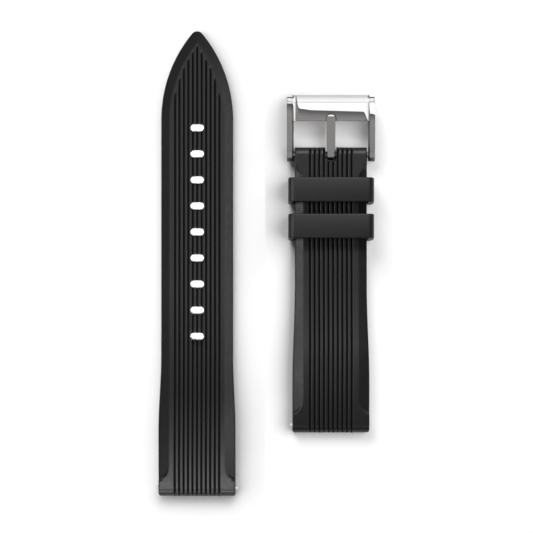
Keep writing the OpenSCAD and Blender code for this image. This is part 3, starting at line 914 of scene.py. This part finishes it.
def steel_material(name, colour, rough, grain):
    """Bright steel with hair-fine polishing lines along X."""
    mat, tree, shader = material(name)
    shader.inputs["Metallic"].default_value = 1.0
    lines = brushed_lines(tree)
    dark = tuple(c * 0.94 for c in colour)
    tone = ramp(tree, lines, [(0.3, dark), (0.7, colour)])
    sheen = ramp(tree, lines, [(0.25, rough * 0.8), (0.75, rough * 1.25)])
    tree.links.new(tone, shader.inputs["Base Color"])
    tree.links.new(sheen, shader.inputs["Roughness"])
    bump(tree, shader, lines, grain, LINE_DEPTH)
    return mat


def brushed_lines(tree):
    """Hair-fine lines along X, as a grey value."""
    coords = tree.nodes.new("ShaderNodeTexCoord")
    stretch = tree.nodes.new("ShaderNodeMapping")
    stretch.inputs["Scale"].default_value = (60, 2600, 2600)
    lines = tree.nodes.new("ShaderNodeTexNoise")
    lines.inputs["Scale"].default_value = 1.0
    lines.inputs["Detail"].default_value = 5.0
    tree.links.new(coords.outputs["Object"], stretch.inputs["Vector"])
    tree.links.new(stretch.outputs["Vector"], lines.inputs["Vector"])
    return lines.outputs["Fac"]


def axis_mm(tree, axis, low, high, clamp=True):
    """A coordinate of the buckle in millimetres, stretched from a range to 0 to 1."""
    coords = tree.nodes.new("ShaderNodeTexCoord")
    axes = tree.nodes.new("ShaderNodeSeparateXYZ")
    tree.links.new(coords.outputs["Object"], axes.inputs["Vector"])
    start = {"X": SHORT_X, "Y": BAR_Y}[axis]
    return remap(tree, axes.outputs[axis], (start + low) * MM, (start + high) * MM, clamp)


def calculate(tree, operation, first, second):
    """The outcome of a sum between two values."""
    node = tree.nodes.new("ShaderNodeMath")
    node.operation = operation
    tree.links.new(first, node.inputs[0])
    tree.links.new(second, node.inputs[1])
    return node.outputs["Value"]


def mixed(tree, share, first, second, blend="MIX"):
    """Two colours mixed by a share."""
    node = tree.nodes.new("ShaderNodeMix")
    node.data_type = "RGBA"
    node.blend_type = blend
    if isinstance(share, float):
        node.inputs[0].default_value = share
    else:
        tree.links.new(share, node.inputs[0])
    tree.links.new(first, node.inputs[6])
    tree.links.new(second, node.inputs[7])
    return node.outputs[2]


# Where the buckle's painted dark reflection gives way to its painted bright one: its Y over X,
# from the left arm over the bridge to the right arm
PAINTED_REFLECTION_X = (-12.0, 12.0)
PAINTED_REFLECTION_Y = (8.0, 16.0)
PAINTED_REFLECTION_LINE = [
    (-12.0, 13.3), (-10.0, 13.3), (-9.8, 12.9), (-9.68, 11.8), (-9.62, 8.0), (-9.28, 8.0),
    (-9.24, 15.6), (-9.0, 15.3), (-8.83, 14.0), (-8.67, 13.0), (-8.45, 12.2), (-8.1, 11.9),
    (-5.2, 11.5), (8.4, 11.1), (8.8, 10.7), (9.2, 9.5), (9.66, 8.6), (9.76, 14.0),
    (9.92, 14.0), (10.0, 10.6), (10.9, 10.6), (12.0, 9.8),
]

# Greys of the painted dark reflection from its line backwards, as shares of 4 mm, and of the
# painted bright reflection on the front by their place along Y
DARK_REFLECTION_TONES = [
    (0.0, 0.085), (0.06, 0.1), (0.2, 0.14), (0.33, 0.18), (0.46, 0.215), (0.62, 0.235),
    (1.0, 0.22),
]
FRONT_Y = (12.5, 16.0)
BRIGHT_REFLECTION_TONES = [
    (12.5, 0.97), (13.3, 0.96), (13.42, 0.74), (13.62, 0.74), (13.75, 0.96), (14.3, 0.93),
    (15.0, 0.68), (15.3, 0.56),
]


def buckle_material():
    """Steel whose colour is painted light: a painted dark reflection over the rear of the arms and
    of the bridge, and a painted bright reflection in front.

    The line between the two runs across both arms and the bridge. Its place
    along Y is read from a curve over X.
    """
    mat, tree, shader = material("steel_buckle")
    shader.inputs["Metallic"].default_value = 1.0
    x0, x1 = PAINTED_REFLECTION_X
    y0, y1 = PAINTED_REFLECTION_Y
    along = axis_mm(tree, "X", x0, x1)
    line = [((x - x0) / (x1 - x0), (y - y0) / (y1 - y0)) for x, y in PAINTED_REFLECTION_LINE]
    edge = ramp(tree, along, line)
    ahead = calculate(tree, "SUBTRACT", axis_mm(tree, "Y", y0, y1, clamp=False), edge)
    bright_reflection_share = remap(tree, ahead, -0.012, 0.012)
    lines = brushed_lines(tree)

    # The painted dark reflection, darkest by its line, with hair-fine lines over it
    behind = remap(tree, ahead, 0.0, -0.5)
    greys = [(place, (g * 1.01, g * 0.99, g * 0.975)) for place, g in DARK_REFLECTION_TONES]
    fine = ramp(tree, lines, [(0.3, 0.9), (0.7, 1.0)])
    dark_reflection = mixed(tree, 1.0, ramp(tree, behind, greys), fine, "MULTIPLY")

    # The painted bright reflection on the front, with soft painted bands of darker reflection
    start, end = FRONT_Y
    front = axis_mm(tree, "Y", start, end)
    tones = [((y - start) / (end - start), (g * 0.995, g * 0.99, g)) for y, g in BRIGHT_REFLECTION_TONES]
    both = mixed(tree, bright_reflection_share, dark_reflection, ramp(tree, front, tones))

    # A painted dark reflection on the ends of the arms, in front of the bridge
    arms = [(0.0, 1.0), (0.094, 1.0), (0.096, 0.0), (0.904, 0.0), (0.906, 1.0)]
    at_end = ramp(tree, front, [(0.628, 0.0), (0.65, 1.0)])
    dark_end = calculate(tree, "MULTIPLY", ramp(tree, along, arms), at_end)
    dark = ramp(tree, lines, [(0.0, 0.07), (1.0, 0.09)])
    tree.links.new(mixed(tree, dark_end, both, dark), shader.inputs["Base Color"])
    tree.links.new(ramp(tree, bright_reflection_share, [(0.0, 0.34), (1.0, 0.1)]), shader.inputs["Roughness"])
    bump(tree, shader, lines, 0.08, LINE_DEPTH)
    return mat


# How far behind the tongue's tip its painted highlight fades in and is whole
TONGUE_HIGHLIGHT = (0.6, 0.45)


def tongue_material():
    """Grey steel with hair-fine lines, and a painted highlight over its tip."""
    mat, tree, shader = material("steel_tongue")
    shader.inputs["Metallic"].default_value = 1.0
    tip = box_mm("buckle_tongue")[1][1] - BAR_Y
    lines = brushed_lines(tree)
    share = axis_mm(tree, "Y", tip - TONGUE_HIGHLIGHT[0], tip - TONGUE_HIGHLIGHT[1])
    grey = ramp(tree, lines, [(0.3, (0.195, 0.189, 0.186)), (0.7, (0.225, 0.219, 0.215))])
    # Near-white painted highlight over the tip
    bright = ramp(tree, lines, [(0.3, 0.93), (0.7, 0.97)])
    tree.links.new(mixed(tree, share, grey, bright), shader.inputs["Base Color"])
    shader.inputs["Roughness"].default_value = 0.28
    bump(tree, shader, lines, 0.1, LINE_DEPTH)
    return mat


def remap(tree, value, low, high, clamp=True):
    """A value stretched from a range to 0 to 1."""
    node = tree.nodes.new("ShaderNodeMapRange")
    node.clamp = clamp
    node.inputs["From Min"].default_value = low
    node.inputs["From Max"].default_value = high
    tree.links.new(value, node.inputs["Value"])
    return node.outputs["Result"]


def floor_material():
    """Plain white paper."""
    mat, tree, shader = material("floor_paper")
    tone = ramp(tree, noise(tree, 40, 2), [(0.3, 0.86), (0.7, 0.88)])
    tree.links.new(tone, shader.inputs["Base Color"])
    shader.inputs["Roughness"].default_value = 0.9
    shader.inputs["Specular IOR Level"].default_value = 0.0
    return mat


# Finishes, each with its colour and, for the bars, its roughness and the strength of its lines
BLACK = silicone_material("silicone_black", (0.003, 0.0029, 0.0031))
BUCKLE_STEEL = buckle_material()
TONGUE_STEEL = tongue_material()
BAR_STEEL = steel_material("steel_bar", (0.72, 0.715, 0.7), 0.22, 0.15)
# Near-black steel as painted shade, for the bar tubes that lie in shadow and for the springs inside
# them
SHADED_STEEL = steel_material("steel_painted_shade", (0.06, 0.06, 0.061), 0.35, 0.1)


def dress(obj, mat, body, nodes):
    """Gives a new piece its finish, its body and the nodes that it stands for."""
    obj.data.materials.clear()
    obj.data.materials.append(mat)
    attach(obj, body)
    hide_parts(*nodes)


# Pieces
STRAP_LONG = long_half()
smooth_by_angle(STRAP_LONG, STRAP_CRISP)
dress(STRAP_LONG, BLACK, "straps", ["long_strap"])

STRAP_SHORT = short_half()
smooth_by_angle(STRAP_SHORT, STRAP_CRISP)
dress(STRAP_SHORT, BLACK, "straps", ["short_strap"])

KEEPERS = []
for keeper_name, keeper_node, keeper_body in (
    ("keeper_by_buckle", "buckle_keeper", "first_keeper"),
    ("keeper_loose", "free_keeper", "second_keeper"),
):
    made = keeper(keeper_name, keeper_node)
    smooth_by_angle(made, KEEPER_CRISP)
    dress(made, BLACK, keeper_body, [keeper_node])
    KEEPERS.append(made)

BUCKLE = buckle()
dress(BUCKLE, BUCKLE_STEEL, "buckle", ["buckle_frame"])
TONGUE = polished("tongue_polished", "buckle_tongue", TONGUE_SOFT)
dress(TONGUE, TONGUE_STEEL, "tongue", ["buckle_tongue"])

# Tubes and tips of the bars keep their solids' shapes; the tubes get near-black steel as painted
# shade
for node_name, node in frame["nodes"].items():
    if "_bar_" in node_name:
        steel = BAR_STEEL if "_tip_" in node_name else SHADED_STEEL
        for material_slot in node.material_slots:
            material_slot.material = steel

# Each bar's spring is cut into a left half and a right half
SPRINGS = []
for bar, moving, holder in (
    ("long_lug_bar", "long", "straps"),
    ("short_lug_bar", "short", "straps"),
    ("buckle_bar", "buckle", "buckle"),
):
    low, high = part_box(bar + "_spring")
    for side, word, end_x in ((-1, "left", low[0]), (1, "right", high[0])):
        made = half_spring(bar + "_coil_" + word, bar + "_spring", side)
        made.data.materials.clear()
        made.data.materials.append(SHADED_STEEL)
        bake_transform(made)
        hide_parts(bar + "_spring")
        SPRINGS.append(made)


# Floor, camera and light
PX_PER_MM = 3.845
FRAME_PX = 533
VIEW_X = 0.29 * MM
VIEW_Y = -0.8 * MM
CAMERA_HEIGHT = 0.8
FOCUS_HEIGHT = 0.003
SENSOR_MM = 36.0
FLOOR_REACH = 1.5
FLOOR_Z = -0.00002
WORLD_GLOW = 0.094


def floor_half(name, x0, x1, mat):
    """Half of the white floor, so that each half of the strap has its own floor lamps."""
    y0, y1 = -FLOOR_REACH, FLOOR_REACH
    mesh = bpy.data.meshes.new(name)
    mesh.from_pydata([(x0, y0, 0), (x1, y0, 0), (x1, y1, 0), (x0, y1, 0)], [], [(0, 1, 2, 3)])
    obj = bpy.data.objects.new(name, mesh)
    obj.location.z = FLOOR_Z
    bpy.context.scene.collection.objects.link(obj)
    mesh.materials.append(mat)
    return obj


PAPER = floor_material()
FLOOR_LONG = floor_half("floor_long", -FLOOR_REACH, 0, PAPER)
FLOOR_SHORT = floor_half("floor_short", 0, FLOOR_REACH, PAPER)

camera = bpy.data.objects.new("camera", bpy.data.cameras.new("camera"))
bpy.context.scene.collection.objects.link(camera)
camera.location = (VIEW_X, VIEW_Y, CAMERA_HEIGHT)
camera.data.sensor_width = SENSOR_MM
camera.data.lens = SENSOR_MM * (CAMERA_HEIGHT - FOCUS_HEIGHT) / (FRAME_PX / PX_PER_MM * MM)
camera.data.clip_start = 0.01
camera.data.clip_end = 20
bpy.context.scene.camera = camera


def add_lamp(name, data, place, facing, lights, shadows=None):
    """Places a lamp and keeps it to some pieces, and to the shadows of some where given."""
    obj = bpy.data.objects.new(name, data)
    bpy.context.scene.collection.objects.link(obj)
    obj.location = place
    obj.rotation_euler = Vector(facing).to_track_quat("-Z", "Y").to_euler()
    obj.light_linking.receiver_collection = group(name + "_lights", lights)
    if shadows is not None:
        obj.light_linking.blocker_collection = group(name + "_shadows", shadows)
    obj.visible_camera = False
    return obj


def panel(name, size, place, aim, glow, lights):
    """A flat rectangular lamp of an even brightness."""
    data = bpy.data.lights.new(name, "AREA")
    data.shape = "RECTANGLE"
    data.size, data.size_y = size
    data.energy = glow * math.pi * size[0] * size[1]
    return add_lamp(name, data, place, Vector(aim) - Vector(place), lights)


def sky(name, towards, spread, strength, lights, shadows=None):
    """A wide soft lamp far away in a direction."""
    data = bpy.data.lights.new(name, "SUN")
    data.energy = strength
    data.angle = math.radians(spread)
    return add_lamp(name, data, (0, 0, 1), -Vector(towards), lights, shadows)


def group(name, objs):
    """A collection of pieces for a lamp."""
    found = bpy.data.collections.new(name)
    for o in objs:
        found.objects.link(o)
    return found


LONG_SIDE = [STRAP_LONG]
SHORT_SIDE = [STRAP_SHORT, *KEEPERS]

# Brightness of the paper under a lamp of strength 1, and how bright it is meant to be
FLOOR_GAIN = 0.277
FLOOR_TONE = 1.05


def floor_lamp(name, floor, towards, spread, share, shadows=None):
    """A wide lamp that gives a floor some share of its light."""
    strength = share * FLOOR_TONE * Vector(towards).length / towards[2] / FLOOR_GAIN
    sky(name, towards, spread, strength, [floor], shadows)


# Lamps of the floor for each half: direction, spread and share of the floor's light
floor_lamp("long_floor_left", FLOOR_LONG, (-1.234, 0.295, 1), 80, 0.454)
floor_lamp("long_floor_right", FLOOR_LONG, (0.861, 0.95, 1), 53, 0.157)
floor_lamp("long_floor_back", FLOOR_LONG, (0, 1.047, 1), 36, 0.309)
floor_lamp("short_floor_right", FLOOR_SHORT, (0.755, 0.1, 1), 59, 0.23, [*SHORT_SIDE, TONGUE])
floor_lamp("short_floor_right_all", FLOOR_SHORT, (0.755, 0.1, 1), 59, 0.37)
floor_lamp("short_floor_left", FLOOR_SHORT, (-0.418, 0.983, 1), 33, 0.32)

# Lamps of the two halves of the strap, whose sheen lies the opposite way round: strengths of the
# lamps for the lug end, from above, for the edge and to fill in
for side, half, glows in (
    (1, LONG_SIDE, (3.1, 0.26, 0.8, 0.17)),
    (-1, SHORT_SIDE, (2.4, 0.07, 1.3, 0.1)),
):
    name = half[0].name
    lug_end, above, edge, fill = glows
    sky(name + "_lug_end", (-0.109 * side, -0.62 * side, 0.777), 22, lug_end, half)
    sky(name + "_above", (0.259 * side, 0, 0.966), 22, above, half)
    sky(name + "_edge", (0.669 * side, 0, 0.743), 22, edge, half)
    sky(name + "_fill", (-0.5 * side, 0.5 * side, 0.7), 40, fill, half)

# Bright panels that the steel mirrors
BARS = [node for name, node in frame["nodes"].items() if "_bar_" in name]
STEEL = [BUCKLE, TONGUE, *SPRINGS, *BARS]
panel("steel_above", (4.0, 4.4), (0, 0.2, 1.2), (0, 0.2, 0), 1.0, STEEL)
panel("steel_behind", (4.0, 1.2), (0, 2.6, 0.6), (0, 0, 0.6), 0.9, STEEL)
panel("steel_front", (4.0, 1.2), (0, -2.3, 0.6), (0, 0, 0.6), 0.6, STEEL)
panel("steel_left", (4.0, 1.2), (-2.2, 0.2, 0.6), (0, 0.2, 0.6), 0.8, STEEL)
panel("steel_right", (4.0, 1.2), (2.2, 0.2, 0.6), (0, 0.2, 0.6), 0.8, STEEL)

# A narrow beam that lights the floor inside the adjusting holes
holes_y = LONG_HI[1] - HOLE_FIRST - (HOLE_COUNT - 1) / 2 * HOLE_PITCH
beam_from = (LONG_X * MM, (holes_y - 3.2) * MM, 0.033)
beam_to = (LONG_X * MM, (holes_y + 0.2) * MM, 0)
beam = panel("hole_beam", (0.006, 0.064), beam_from, beam_to, 1.5, [FLOOR_LONG])
beam.data.spread = math.radians(8)


def world():
    """White to the camera, dim to everything else."""
    made = bpy.data.worlds.new("studio")
    bpy.context.scene.world = made
    made.use_nodes = True
    tree = made.node_tree
    tree.nodes.clear()
    out = tree.nodes.new("ShaderNodeOutputWorld")
    dim = tree.nodes.new("ShaderNodeBackground")
    dim.inputs["Strength"].default_value = WORLD_GLOW
    dim.inputs["Color"].default_value = (1, 1, 1, 1)
    seen = tree.nodes.new("ShaderNodeBackground")
    seen.inputs["Color"].default_value = (1, 1, 1, 1)
    seen.inputs["Strength"].default_value = 1.0
    rays = tree.nodes.new("ShaderNodeLightPath")
    to_camera = tree.nodes.new("ShaderNodeMixShader")
    tree.links.new(rays.outputs["Is Camera Ray"], to_camera.inputs["Fac"])
    tree.links.new(dim.outputs["Background"], to_camera.inputs[1])
    tree.links.new(seen.outputs["Background"], to_camera.inputs[2])
    tree.links.new(to_camera.outputs["Shader"], out.inputs["Surface"])


world()
bpy.context.scene.view_settings.view_transform = "Standard"
